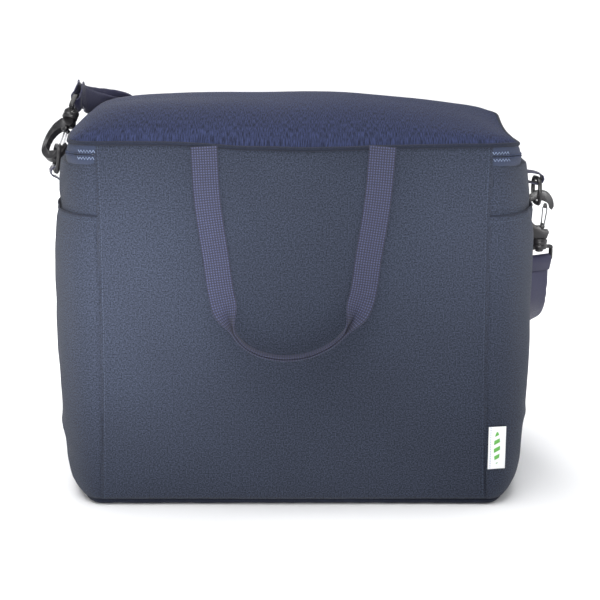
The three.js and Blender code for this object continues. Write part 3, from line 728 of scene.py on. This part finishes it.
FOOT = 6.6 * MM
FRONT_TOP, FRONT_FOAM_TOP = 0.3488, 0.3475
RIM_START = 0.296
CORNER_X = 0.178
FOAM_FOOT = 13.4 * MM
FOAM_OUTSIDE = 4.6 * MM
FOAM_INSIDE = FOAM_OUTSIDE + 8 * MM
LINER_INSET = 13.8 * MM


def make_end(side, sign):
    """A side panel with the hem rolled in at its top, and the slip pocket over it with its hemmed mouth."""
    heights = np.linspace(FOOT, WALL_TOP - 1 * MM, 84)
    inset = np.interp(heights, (POCKET_TOP + 1 * MM, POCKET_TOP + 12 * MM), (1.9 * MM, 0.3 * MM))
    panel = end_grid(sign, heights, inset)
    ring = np.column_stack(ring_outline(1.0 * MM))
    if sign < 0:
        ring = ring[::-1] * (-1, 1)
    rolled = []
    panel[..., 2] += rim_rise(panel[..., 0], panel[..., 1]) * rising(panel[..., 2], RIM_START, 0.034)
    for share, lift in ((0.06, 2.0), (0.16, 2.9), (0.4, 3.2), (0.75, 2.7), (1.0, 2.4)):
        row = panel[-1].copy()
        row[:, :2] += (ring - row[:, :2]) * share
        row[:, 2] += lift * MM
        rolled.append(row)
    panel = np.concatenate([panel, np.stack(rolled)])
    replaced = [f"{side}_side_panel"] + (["rim_hem"] if sign > 0 else [])
    finish_piece(cloth_layer(f"{side}_side_cloth", panel), "bag", "outer_cloth", replaced)

    mouth = np.linspace(FOOT, POCKET_TOP, 74)
    pocket = end_grid(sign, mouth, 0)
    gape = rising(mouth, 0.24, 0.05)[:, None] ** 2 * np.abs(np.cos(TURN))[None, :] ** 0.5
    pocket = pocket + normals(pocket) * (gape * (1.2 * MM))[..., None]
    finish_piece(cloth_layer(f"{side}_pocket_cloth", pocket), "bag", "outer_cloth", [f"{side}_side_pocket"])
    hem = tube(f"{side}_pocket_hem", pocket[-1] + normals(pocket)[-1] * (-0.5 * MM), 0.95 * MM, 8)
    finish_piece(hem, "bag", "piping_cloth")
    line = pocket[-2] + normals(pocket)[-2] * (0.12 * MM) - (0, 0, 1.4 * MM)
    finish_piece(stitches(f"{side}_pocket_stitching", line), "bag", "thread")


def make_long_walls():
    heights = np.linspace(FOOT, FRONT_TOP, 100)
    front = long_grid(-1, heights, 0, front_relief)
    front[..., 2] += 1.6 * MM * rising(heights, 0.330, 0.018)[:, None]
    finish_piece(cloth_layer("front_cloth", front), "bag", "outer_cloth", ["front_panel"])
    rear = long_grid(1, np.linspace(FOOT, WALL_TOP + 1 * MM, 90), 0, rear_relief)
    finish_piece(cloth_layer("rear_cloth", rear), "bag", "outer_cloth", ["rear_panel"])
    for name, grid, column in (("front_right_seam", front, -2), ("front_left_seam", front, 1),
                               ("rear_right_seam", rear, 1), ("rear_left_seam", rear, -2)):
        line = grid[:, column] + normals(grid)[:, column] * (0.12 * MM)
        finish_piece(stitches(f"{name}_stitching", line), "bag", "thread")
        edge = grid[:, 0 if column > 0 else -1] - normals(grid)[:, column] * (1.5 * MM)
        finish_piece(tube(f"{name}_allowance", edge, 1.6 * MM, 8), "bag", "outer_cloth")


def make_foam():
    """The foam of the four walls. It follows the cloth outside and is kept clear of the liner inside."""
    for side, sign in (("left", -1), ("right", 1)):
        heights = np.linspace(FOAM_FOOT, WALL_TOP - 2.5 * MM, 40)
        behind = np.interp(heights, (0.235, 0.295), (FOAM_INSIDE, 9.4 * MM))
        outer, inner = (end_grid(sign, heights, inset) for inset in (FOAM_OUTSIDE, behind))
        for face in (outer, inner):
            sag = np.minimum(rim_rise(face[..., 0], face[..., 1]), 0)
            face[..., 2] += sag * rising(face[..., 2], RIM_START, 0.030)
        finish_piece(slab(f"{side}_foam_sheet", outer, inner), "bag", "foam", [f"{side}_foam"])
    for name, side, top, relief in (("front", -1, FRONT_FOAM_TOP, front_relief),
                                    ("rear", 1, WALL_TOP, rear_relief)):
        heights = np.linspace(FOAM_FOOT, top, 40)
        outer = long_grid(side, heights, FOAM_OUTSIDE, relief)
        inner = long_grid(side, heights, FOAM_INSIDE, lambda x, z: np.maximum(relief(x, z), -0.6 * MM))
        for face in (outer, inner):
            corner = rising(np.abs(face[..., 0]), 0.168, 0.008)
            face[..., 2] -= 0.92 * corner * np.maximum(face[..., 2] - (WALL_TOP - 2 * MM), 0)
        finish_piece(slab(f"{name}_foam_sheet", outer, inner), "bag", "foam", [f"{name}_foam"])


def around(inset, z):
    """The whole outline of the body at height z, anticlockwise from the front right seam."""
    x, y = end_outline(np.array([z]), inset)
    return np.concatenate(ring_runs(x[0], y[0], 60))


def disc(outline, z):
    """A flat sheet: rings that shrink from an outline to its middle."""
    share = np.linspace(1, 0.02, 24)[:, None, None]
    flat = outline[None] * share
    return np.concatenate([flat, np.full((*flat.shape[:2], 1), z)], axis=2)


def make_base():
    """The bottom cloth, the board and the foam on it, and the piping round them."""
    outline = around(6.4 * MM, 3 * MM)
    for name, inset, low, high, stuff, node in (
            ("bottom_cloth", 0.0, 0.0, 2.0, "outer_cloth", "bottom_panel"),
            ("stiffener", 1.6, 2.4, 4.3, "board", "base_board"),
            ("bottom_foam_sheet", 2.6, 4.8, 12.6, "foam", "bottom_foam")):
        shape = outline * (1 - inset * MM / 0.12)
        upper, lower = disc(shape, high * MM), disc(shape, low * MM)
        lower[0, :, 2] += 0.3 * MM
        finish_piece(slab(name, upper[::-1], lower[::-1], closed=True), "bag", stuff, [node])
    line = around(2.8 * MM, 2.8 * MM)
    line = np.column_stack([line, np.full(len(line), 3.3 * MM)])
    line[:, 2] += 0.25 * MM * (1 + waves(line[:, 0], line[:, 1], 0.03, 41))
    welt = tube("base_welt", line, 2.8 * MM, 12, closed=True)
    finish_piece(welt, "bag", "piping_cloth", ["bottom_piping"])


def make_liner():
    """The silver tub: walls, floor, and a lip that turns out over the foam to the zip and the hinge."""
    rows = []
    for z in np.linspace(13.8 * MM, WALL_TOP, 46):
        line = around(LINER_INSET, z)
        slack = 1.2 * MM * (1 + waves(line[:, 0] + line[:, 1], line[:, 1] * 0 + z, 0.07, 51))
        line = line - unit(line) * slack[:, None]
        rows.append(np.column_stack([line, np.full(len(line), z)]))
    top = rows[-1]
    front = rising(top[:, 1], -0.085, -0.015) * rising(np.abs(top[:, 0]), CORNER_X, -0.006)
    target = top.copy()
    limit = np.array([RING_X, RING_Y]) - 1.6 * MM
    scale = (limit / np.maximum(np.abs(top[:, :2]), 1e-6)).min(axis=1)
    target[:, :2] *= np.clip(scale, 0.9, 1.12)[:, None]
    for across, up in ((0, 0.5), (0, 0.9), (0.1, 1.0), (0.6, 1.02), (1.0, 0.98)):
        row = top.copy()
        row[:, :2] += (target[:, :2] - row[:, :2]) * across * (0.3 + 0.7 * front)[:, None]
        row[:, 2] = WALL_TOP + (1.0 + front * 17.4) * MM * up
        rows.append(row)
    walls = np.stack(rows)
    rise, z = rim_rise(walls[..., 0], walls[..., 1]), walls[..., 2].copy()
    walls[..., 2] += np.minimum(rise, 0) * rising(z, RIM_START, 0.030)
    inside = rising(np.abs(walls[..., 0]), CORNER_X, -0.008)
    walls[..., 2] += np.maximum(rise, 0) * rising(z, 0.300, 0.048) * inside
    finish_piece(cloth_layer("liner_wall", walls, 0.7 * MM, closed=True), "bag", "liner", ["liner_tub"])
    floor = disc(around(LINER_INSET + 1.5 * MM, 20 * MM), 14.2 * MM)
    floor[..., 2] += 0.5 * MM * (1 + waves(floor[..., 0], floor[..., 1], 0.06, 52))
    lower = floor - (0, 0, 0.7 * MM)
    finish_piece(slab("liner_floor", floor[::-1], lower[::-1], closed=True), "bag", "liner")


# ---- zip ----
LID_Y = np.array([-120, -93, -50, -10, 20, 60, 120]) * MM
LEFT_OUT = np.array([-3.5, -2.5, 2.0, 2.5, 1.0, 0, 0]) * MM
RIGHT_OUT = np.array([-3.5, -3.0, -3.5, -4.0, -4.0, -3.5, -1.0]) * MM


def lid_x(x, y, share=1.0):
    """Where the lid's plan lies: drawn in at its front corners and right end, full on the left."""
    out = np.where(x < 0, np.interp(y, LID_Y, LEFT_OUT), np.interp(y, LID_Y, RIGHT_OUT))
    return x * (1 + share * out / RING_X)


def zip_line(outset, z):
    """The zip's path at height z: right end, rear, left end. It leans in towards the narrower lid."""
    right, rear, left, _ = ring_runs(*ring_outline(-outset), 90)
    ends = np.array([[SEAM_X + 0.8 * MM, right[0, 1]], [-SEAM_X - 0.8 * MM, left[-1, 1]]])
    line = np.concatenate([ends[:1], right, rear, left, ends[1:]])
    line[:, 0] = lid_x(line[:, 0], line[:, 1], rising(z, ZIP_LINE, HINGE_Z - ZIP_LINE))
    return np.column_stack([line, z + rim_rise(line[:, 0], line[:, 1])])


ZIP_HALVES = (("lower", "bag", -1), ("upper", "lid", 1))


def zip_tape(name, body, low, high):
    """One half's tape, bulging a little between its two edges."""
    rows = [zip_line(0.9 * MM * math.sin(math.pi * share), low + (high - low) * share)
            for share in np.linspace(0, 1, 9)]
    tape = cloth_layer(f"{name}_tape", np.stack(rows), 0.9 * MM)
    finish_piece(tape, body, "zip_tape", [f"zip_{name}_tape"])


def make_zip():
    """The tapes, teeth and sewn rows of both halves, and the tacks that close their ends."""
    zip_tape("lower", "bag", WALL_TOP + 1 * MM, ZIP_LINE - 0.2 * MM)
    zip_tape("upper", "lid", ZIP_LINE + 0.2 * MM, HINGE_Z - 0.9 * MM)
    for name, body, half in ZIP_HALVES:
        line = zip_line(1.0 * MM, ZIP_LINE + half * 1.0 * MM)
        teeth = stitches(f"{name}_coil", line, 1.5 * MM, 1.5 * MM, 0.6 * MM, across=(0, 0, 1))
        finish_piece(teeth, body, "zip_tape", [f"zip_{name}_coil"])
    for name, body, half in ZIP_HALVES:
        line = zip_line(0.5 * MM, ZIP_LINE + half * 3.4 * MM)
        row = stitches(f"{name}_zip_row_stitching", line, 2.6 * MM, 1.9 * MM, 0.26 * MM)
        finish_piece(row, body, "thread")
    for side, end in (("left", slice(-7, None)), ("right", slice(0, 7))):
        for name, body, half in ZIP_HALVES:
            line = resample(zip_line(1.0 * MM, ZIP_LINE + half * 3.2 * MM)[end], 1.5 * MM)
            line[::2, 2] += 1.2 * MM
            line[1::2, 2] -= 1.2 * MM
            tack = tube(f"{side}_{name}_tack", line, 0.42 * MM, 6)
            finish_piece(tack, body, "pale_thread")


# ---- lid ----
CROWN_X = np.array([-214, -203, -188, -163, -142, -112, 0, 60, 90, 120, 145, 170, 194, 214]) * MM
CROWN = np.array([0, 10.5, 16.5, 20.6, 22.6, 24.0, 24.4, 24.0, 21.6, 17.6, 13.8, 9.4, 4.8, 0]) * MM


def crown(x, y):
    """Height of the padded lid above its seam, slacker towards the right."""
    full = smoothed(x, CROWN_X, CROWN, 0.010)
    near_x, near_y = rising(np.abs(x), 0, RING_X), rising(np.abs(y), 0, RING_Y)
    slack = 0.9 * MM * waves(x, y, 0.12, 61) * (1 - near_x ** 4) * (1 - near_y ** 4)
    return full * (1 - near_y ** 2.6) + slack + rim_rise(x, y)


def lid_grid(inset, columns=150, rows=100):
    """A grid over the lid's rounded outline, and each point's distance from the edge."""
    half_x, half_y, corner = RING_X - inset, RING_Y - inset, RING_R - inset
    even = np.meshgrid(np.linspace(-1, 1, columns), np.linspace(-1, 1, rows))
    u, v = (np.sin(share * math.pi / 2 * 0.97) / math.sin(math.pi / 2 * 0.97) for share in even)
    far = np.maximum(np.maximum(np.abs(u), np.abs(v)), 1e-9)
    edge_x, edge_y = np.abs(u / far) * half_x, np.abs(v / far) * half_y
    in_x, in_y = edge_x - (half_x - corner), edge_y - (half_y - corner)
    size = np.hypot(in_x, in_y)
    over = (in_x > 0) & (in_y > 0) & (size > corner)
    edge_x = np.where(over, half_x - corner + in_x / np.maximum(size, 1e-9) * corner, edge_x)
    edge_y = np.where(over, half_y - corner + in_y / np.maximum(size, 1e-9) * corner, edge_y)
    x, y = np.sign(u) * edge_x * far, np.sign(v) * edge_y * far
    return x, y, (1 - far) * np.minimum(np.hypot(edge_x, edge_y), half_y)


def make_lid():
    x, y, from_edge = lid_grid(0.4 * MM)
    pillow = 7.2 * MM * (1 - np.exp(-from_edge / 0.006))
    top = np.dstack([lid_x(x, y), y, HINGE_Z + 0.8 * MM + pillow + crown(x, y)])
    cover = lay_flat(cloth_layer("lid_cover", top))
    finish_piece(cover, "lid", "lid_cloth", ["lid_fabric"])
    x, y, from_edge = lid_grid(2.6 * MM, 60, 40)
    pillow = np.clip(5.2 * MM * (1 - np.exp(-from_edge / 0.006)), 0.2 * MM, None)
    low = HINGE_Z + 0.6 * MM + crown(x, y)
    x = lid_x(x, y)
    foam = slab("lid_foam_pad", np.dstack([x, y, low + pillow]), np.dstack([x, y, low]))
    finish_piece(foam, "lid", "foam", ["lid_foam"])
    x, y, from_edge = lid_grid(2.4 * MM, 90, 60)
    dimples = 0.6 * MM * (1 + waves(x, y, 0.05, 62)) * rising(from_edge, 0, 0.02)
    under = HINGE_Z - 0.3 * MM + crown(x, y) - dimples
    sheet = np.dstack([lid_x(x, y), y, under])
    finish_piece(slab("lid_lining", sheet, sheet - (0, 0, 0.6 * MM)), "lid", "liner", ["lid_liner"])
    x, y = np.concatenate(ring_runs(*ring_outline(-0.5 * MM), 90)).T
    x = lid_x(x, y)
    height = HINGE_Z + rim_rise(x, y) + 0.3 * MM * waves(x * 1.3, y, 0.06, 63)
    piping = tube("lid_welt", np.column_stack([x, y, height]), 2.1 * MM, 12, closed=True)
    finish_piece(piping, "lid", "piping_cloth", ["lid_piping"])


# ---- handles ----
GRIP = [
    [-83, 122.4, 356], [-80.2, 126.4, 305], [-72.8, 127.6, 250], [-68, 128.4, 215], [-61, 129.5, 190],
    [-50, 130.5, 171.5], [-36, 131, 161.8], [-20, 131.2, 157.2], [-7, 131.2, 156], [8, 131.2, 157.6],
    [22, 131, 161.8], [39.5, 130.5, 172], [55, 129.5, 190], [64.5, 128.4, 213], [70, 127.6, 250],
    [78.2, 126.4, 305], [82.6, 122.4, 356],
]
FOLD_START, FOLD_RUN, FOLD_TURN = 0.212, 0.034, math.radians(88)
LEG_BEND = 0.3


def folded_band(name, route, side):
    """Handle webbing: flat down its two legs, and folded in half lengthwise along the grip."""
    line, _ = spline(np.array(route) * MM * (1, side, 1), 260)
    along = unit(np.gradient(line, axis=0))
    wide = unit(np.cross(along, np.broadcast_to((0.0, side, 0.0), line.shape)))
    out = np.cross(wide, along)
    fold = rising(line[:, 2], FOLD_START, -FOLD_RUN)
    fold = (fold * fold * (3 - 2 * fold)) * FOLD_TURN
    fine = np.linspace(0, 1, 13)
    turn = fold[:, None] * np.tanh(fine / 0.11)[None, :]
    flat = np.cumsum(np.cos(turn), axis=1) - np.cos(turn)[:, :1]
    rise = np.cumsum(np.sin(turn), axis=1) - np.sin(turn)[:, :1]
    scale = WEBBING_WIDTH / 2 / (len(fine) - 1)
    a_mid = np.concatenate([-flat[:, ::-1], flat[:, 1:]], axis=1) * scale
    b_mid = np.concatenate([rise[:, ::-1], rise[:, 1:]], axis=1) * scale
    lean = np.concatenate([-turn[:, ::-1], turn[:, 1:]], axis=1)
    across = np.concatenate([-fine[::-1], fine[1:]])
    half = half_thickness(across, 0.15, 0.7)
    grids = []
    for face in (1, -1):
        a = a_mid - np.sin(lean) * half * face
        b = b_mid + np.cos(lean) * half * face
        grids.append(line[:, None] + wide[:, None] * a[..., None] + out[:, None] * b[..., None])
    ring = np.concatenate([grids[0], grids[1][:, ::-1]], axis=1)
    return swept(name, ring, line, np.concatenate([across, across[::-1]]) * WEBBING_WIDTH / 2)


def make_handles():
    """Both carry handles. The rear one's legs are shorter above LEG_BEND: it is sewn on under the zip."""
    for name, side in (("front", -1), ("rear", 1)):
        band = folded_band(f"{name}_handle_webbing", GRIP, side)
        if side > 0:
            for vertex in band.data.vertices:
                if vertex.co.z > LEG_BEND:
                    vertex.co.z = LEG_BEND + (vertex.co.z - LEG_BEND) * 0.5
        finish_piece(band, None, "handle_webbing", [f"{name}_handle"])
        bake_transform(band)


# ---- shoulder strap ----
STRAP_ROUTE = [
    [-224.6, 60.2, 374.8, 0.064, -0.764, 0.643],
    [-224, 61.5, 376.3, 0.064, -0.764, 0.643],
    [-222.6, 70, 379, 0.08, -0.7, 0.7],
    [-223.4, 84, 375.6, 0.04, -0.5, 0.86],
    [-222.6, 100, 370, 0, -0.35, 0.94],
    [-213.8, 119.6, 364.5, 0, -0.15, 0.98],
    [-199, 128.8, 361.5, 0.12, 0, 0.98],
    [-184, 132.5, 358, 0.35, -0.1, 0.92],
    [-171, 138, 348, 0.75, -0.1, 0.64],
    [-163.5, 142.5, 330, 0.96, -0.05, 0.27],
    [-160.5, 144.6, 310, 1, 0, 0.05],
    [-160, 145, 290, 1, 0, 0],
    [-160, 145, 220, 1, 0, 0],
    [-159.5, 144, 170, 1, 0, 0.05],
    [-150, 144, 122, 0.95, -0.25, 0.3],
    [-128, 144, 78, 0.5, -0.75, 0.4],
    [-90, 144, 46, 0.1, -0.98, 0.1],
    [-40, 144, 29, 0, -1, 0],
    [15, 144, 25, 0, -1, 0],
    [70, 144, 32, 0, -1, 0],
    [120, 144, 48, 0, -1, -0.15],
    [164, 142, 68, 0, -0.7, -0.7],
    [199, 130, 88, -0.1, -0.3, -0.95],
    [227, 106, 108, -0.4, -0.3, -0.85],
    [242, 74, 128, -0.7, -0.5, -0.5],
    [246.5, 42, 146, -0.8, -0.6, 0],
    [248.4, 17, 168, -0.83, -0.56, 0],
    [249.4, 10.3, 188, -0.83, -0.56, 0],
    [249.5, 10, 204.4, -0.83, -0.56, 0],
]
RETURN_ROUTE = [
    [-218.1, 59.3, 373.1, 0.064, -0.764, 0.643],
    [-217.6, 60.5, 374.5, 0.064, -0.764, 0.643],
    [-217.6, 70, 377, 0.07, -0.6, 0.8],
    [-218, 84, 372.8, 0.03, -0.42, 0.9],
    [-218.1, 100, 366.4, 0, -0.25, 0.96],
    [-209.4, 116, 359.8, 0, -0.1, 0.99],
    [-198, 123.6, 355.4, 0.1, 0, 0.98],
    [-184, 127.4, 351, 0.35, -0.1, 0.92],
    [-171, 130.5, 341, 0.75, -0.1, 0.64],
    [-163.5, 133.5, 323, 0.96, -0.05, 0.27],
    [-160.5, 134.5, 303, 1, 0, 0.05],
    [-160, 134.6, 290, 1, 0, 0],
    [-160, 134.6, 279.6, 1, 0, 0],
]


def declare_strap(route, count):
    line, _, _ = band_lines(route, count)


def make_strap():
    strap = webbing("strap_webbing", STRAP_ROUTE, 520, crease=0.4 * MM, seed=80)
    finish_piece(strap, "shoulder_strap", "strap_webbing", ["shoulder_strap"])
    declare_strap(STRAP_ROUTE, 160)
    strand = webbing("strap_end_webbing", RETURN_ROUTE, 160, crease=0.3 * MM, seed=82)
    finish_piece(strand, None, "strap_webbing", ["strap_return_strand"])
    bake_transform(strand)
    declare_strap(RETURN_ROUTE, 80)


def refined(node, name, body, stuff, bevel=0.6 * MM, segments=2, angle=32):
    """A CAD piece with its edges rounded and its curves smoothed, standing for the node."""
    made = bmesh.new()
    made.from_mesh(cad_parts[node].data)
    bmesh.ops.remove_doubles(made, verts=made.verts, dist=0.01 * MM)
    bmesh.ops.dissolve_limit(made, angle_limit=math.radians(2), verts=made.verts, edges=made.edges)
    sharp = [e for e in made.edges if len(e.link_faces) == 2 and e.calc_face_angle() > math.radians(angle)]
    bmesh.ops.bevel(made, geom=sharp, offset=bevel, segments=segments, profile=0.5, affect="EDGES",
                    clamp_overlap=True)
    bmesh.ops.recalc_face_normals(made, faces=made.faces)
    mesh = bpy.data.meshes.new(name)
    made.to_mesh(mesh)
    made.free()
    mesh.polygons.foreach_set("use_smooth", [True] * len(mesh.polygons))
    mesh.set_sharp_from_angle(angle=math.radians(42))
    return finish_piece(placed(name, mesh), body, stuff, [node])


# On each side: the CAD node, the piece, its body and stuff, then the bevel, its segments and the least
# angle in degrees of an edge that it rounds.
HARDWARE = (
    ("hook", "snap_hook", "{}_hook", "black_plastic", 1.1 * MM, 3),
    ("hook_gate", "gate_wire", "{}_gate", "steel_wire", 0.1 * MM, 1, 60),
    ("swivel_base", "swivel", "shoulder_strap", "black_plastic", 0.5 * MM),
    ("ring", "square_ring", "shoulder_strap", "black_plastic", 0.1 * MM, 1, 80),
    ("strap_fold", "fold_webbing", "shoulder_strap", "strap_webbing", 0.3 * MM),
    ("zip_slider", "slider_body", "{}_slider", "black_plastic", 0.3 * MM),
    ("zip_pull", "pull_tab", "{}_pull", "black_plastic", 0.3 * MM),
)


def make_hardware():
    for side in ("left", "right"):
        for node, name, body, *rest in HARDWARE:
            refined(f"{side}_{node}", f"{side}_{name}", body.format(side), *rest)
        tab = refined(f"{side}_tab_loop", f"{side}_tab_webbing", None, "strap_webbing", 0.25 * MM)
        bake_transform(tab)
    refined("strap_adjuster", "adjuster_frame", "adjuster", "black_plastic", 0.7 * MM)
    refined("adjuster_fold", "adjuster_fold_webbing", "adjuster", "strap_webbing", 0.3 * MM)


HOOK_FRAMES = {
    "left": ((-226.7, 48.1, 360.6),
             (0.8798, -0.4717, 0.0584), (-0.3765, -0.6167, 0.6913), (-0.2901, -0.6302, -0.7202)),
    "right": ((249.5, 10, 230),
              (0.9929, -0.1191, 0), (0.1191, 0.9929, 0), (0, 0, 1)),
}


def make_gate_bosses():
    """The pivot boss of each gate, with its rivet ends, on the cheeks of the hook."""
    for side, axes in HOOK_FRAMES.items():
        origin, across, out, up = (np.array(axis, float) for axis in axes)
        for name, x, z, radius in (("lower", 2.3, 21.3, 2.5), ("upper", 4.4, 42.4, 2.1)):
            middle = (origin + across * x + up * z) * MM
            reach = np.array([-4.1, -3.9, -3.6, -1.5, 1.5, 3.6, 3.9, 4.1])[:, None] * MM
            swell = np.array([0.5, 0.8, 1.0, 0.92, 0.92, 1.0, 0.8, 0.5]) * radius * MM
            boss = tube(f"{side}_{name}_gate_boss", middle + out * reach, swell, 14)
            finish_piece(boss, f"{side}_hook", "black_plastic")


def make_label():
    """A folded cloth label sewn into the right front seam."""
    turn, half_width = 0.17, 8.6 * MM
    a, z = np.meshgrid(np.linspace(-1, 1, 17), np.linspace(0.040, 0.083, 25))
    x = 0.1965 + a * half_width * math.cos(turn)
    curl = 0.7 * MM * waves(a * 0.01, z, 0.03, 91) * (1 + a) / 2
    y = -0.1241 + a * half_width * math.sin(turn) - curl - 0.9 * MM
    grid = np.dstack([x, y, z])
    tag = cloth_layer("label", grid, 0.6 * MM)
    finish_piece(tag, "bag", "label_cloth", ["side_label"])
    edge = stitches("label_stitching", grid[:, 2] + (0, -0.15 * MM, 0), 2.4 * MM, 1.7 * MM, 0.25 * MM)
    finish_piece(edge, "bag", "pale_thread")


def make_floor():
    corners = [(-6, -6, 0), (6, -6, 0), (6, 6, 0), (-6, 6, 0)]
    floor = mesh_object("floor", corners, [(0, 1, 2, 3)], smooth=False)
    floor.data.materials.append(floor_stuff("floor"))


make_camera()
make_strap()
make_studio()
make_end("left", -1)
make_end("right", 1)
make_long_walls()
make_foam()
make_base()
make_liner()
make_zip()
make_lid()
make_handles()
make_hardware()
make_gate_bosses()
make_label()
make_floor()
